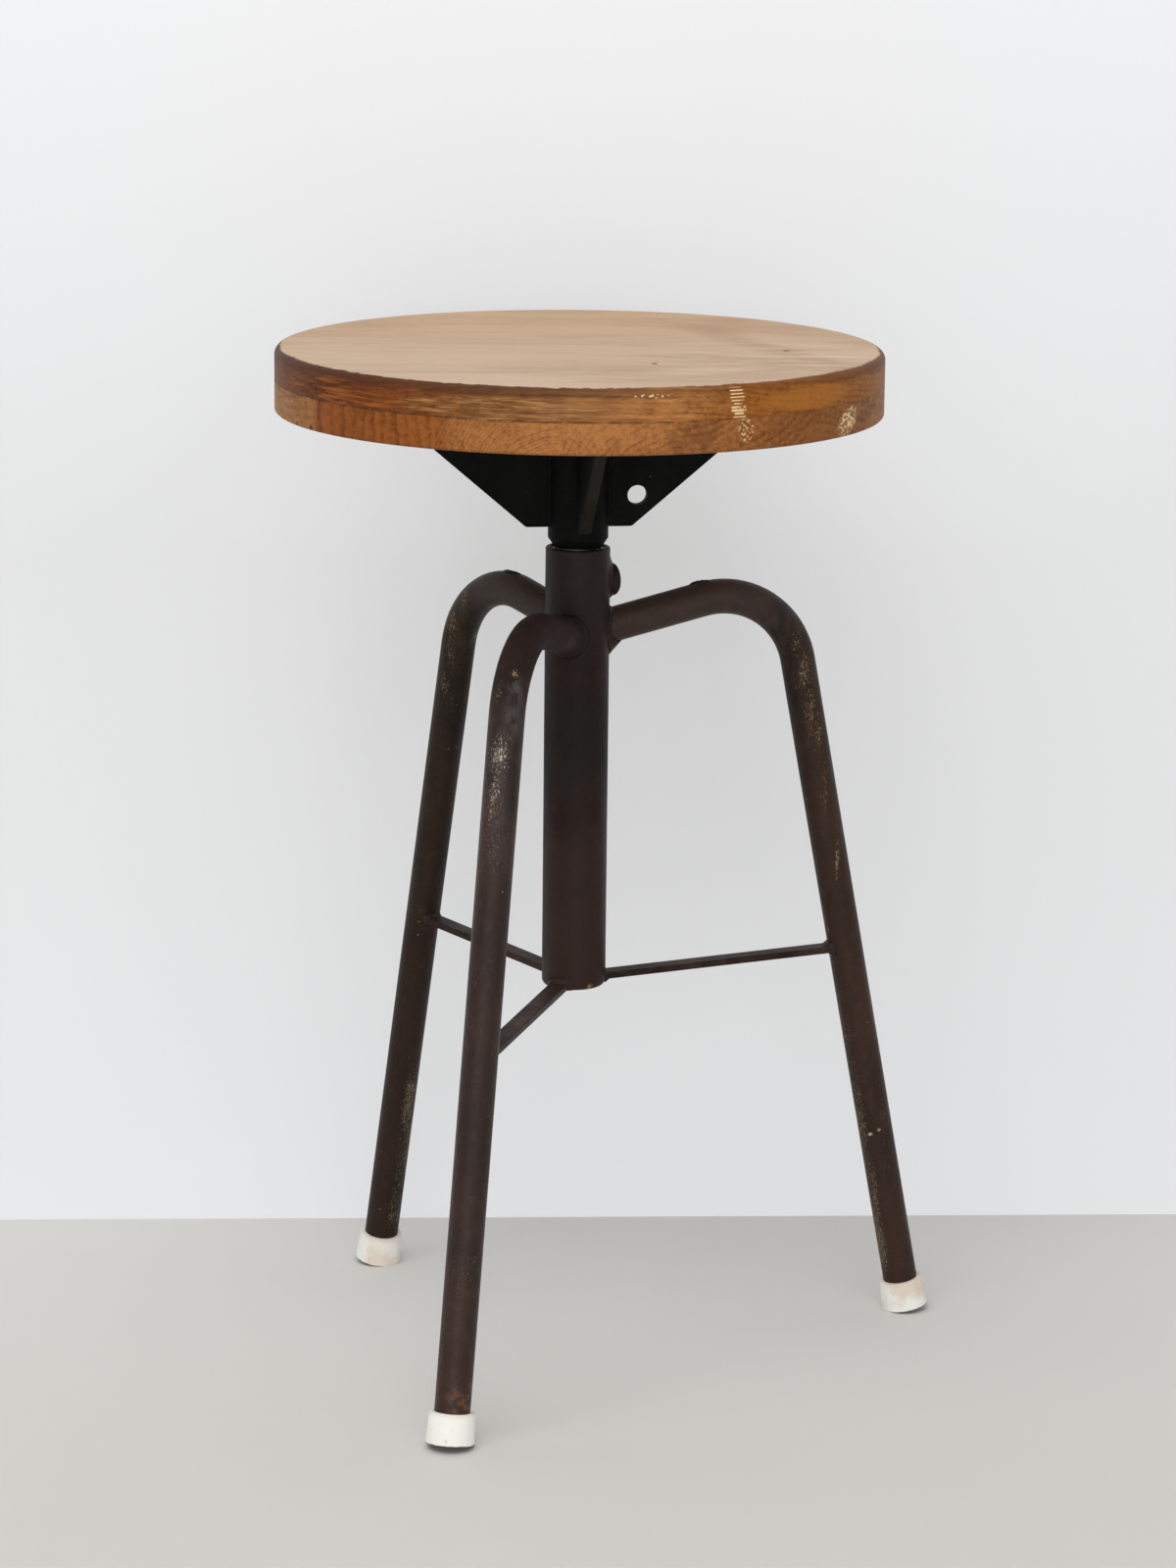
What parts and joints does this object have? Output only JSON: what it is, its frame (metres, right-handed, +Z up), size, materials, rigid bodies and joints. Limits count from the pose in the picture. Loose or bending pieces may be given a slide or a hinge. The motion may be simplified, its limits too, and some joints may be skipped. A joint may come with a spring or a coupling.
{
  "type": "industrial stool",
  "caption": "Round wooden screw-lift stool: a turned seat on a steel bracket and lifting spindle, in a column on splayed bent-tube legs with braces and rubber foot caps.",
  "frame": {"origin": "on the floor, under the column's axis", "axes": "+Z up along the column; the picture looks along +Y, with +X to the right"},
  "size_m": [0.4087, 0.3972, 0.6198],
  "materials": {
    "frame_steel": "dark brown painted steel, satin, worn and speckled",
    "bracket_steel": "black painted steel, matt",
    "bare_steel": "oiled bare steel",
    "guide_plastic": "natural plastic",
    "pad_brass": "dull brass",
    "foot_rubber": "off-white rubber, stained",
    "upper_wood": "satin hardwood, worn at the rim",
    "lower_wood": "satin hardwood, end grain at the front"
  },
  "bodies": {
    "frame": {"column_tube": "frame_steel", "column_nut": "bare_steel", "lock_boss": "frame_steel", "leg_right": "frame_steel", "leg_left": "frame_steel", "leg_front": "frame_steel", "brace_right": "frame_steel", "brace_left": "frame_steel", "brace_front": "frame_steel", "foot_cap_right": "foot_rubber", "foot_cap_left": "foot_rubber", "foot_cap_front": "foot_rubber"},
    "guide": {"spindle_guide_ring": "guide_plastic"},
    "seat": {"spindle": "bare_steel", "spindle_stop_washer": "bare_steel", "spindle_stop_bolt": "bare_steel", "hub_tube": "bracket_steel", "seat_flange": "bracket_steel", "seat_screws": "bare_steel", "gusset_right": "bracket_steel", "gusset_rear": "bracket_steel", "gusset_left": "bracket_steel", "gusset_front": "bracket_steel", "seat_lower_board_1": "lower_wood", "seat_lower_board_2": "lower_wood", "seat_lower_board_3": "lower_wood", "seat_lower_board_4": "lower_wood", "seat_lower_board_5": "lower_wood", "seat_lower_board_6": "lower_wood", "seat_upper_board_1": "upper_wood", "seat_upper_board_2": "upper_wood", "seat_upper_board_3": "upper_wood", "seat_upper_board_4": "upper_wood", "seat_upper_board_5": "upper_wood", "seat_upper_board_6": "upper_wood"},
    "pad": {"lock_pad": "pad_brass"},
    "lock": {"lock_screw": "bare_steel"}
  },
  "joints": [
    {"name": "seat_lift", "type": "slide", "parent": "frame", "child": "guide", "axis": [0, 0, 1], "range_m": [0, 0.18]},
    {"name": "seat_turn", "type": "hinge", "parent": "guide", "child": "seat", "pos_m": [0, 0, 0.5], "axis": [0, 0, 1], "range_deg": [0, 12960]},
    {"name": "lock_slide", "type": "slide", "parent": "frame", "child": "pad", "axis": [0.9063, 0.4226, 0], "range_m": [0, 0.003]},
    {"name": "lock_turn", "type": "hinge", "parent": "pad", "child": "lock", "pos_m": [0, 0, 0.4775], "axis": [0.9063, 0.4226, 0], "range_deg": [0, 720]}
  ],
  "couplings": [
    {"joint": "seat_lift", "follows": "seat_turn", "m_per_rad": 0.00079577},
    {"joint": "lock_turn", "follows": "lock_slide", "rad_per_m": 4188.8}
  ]
}
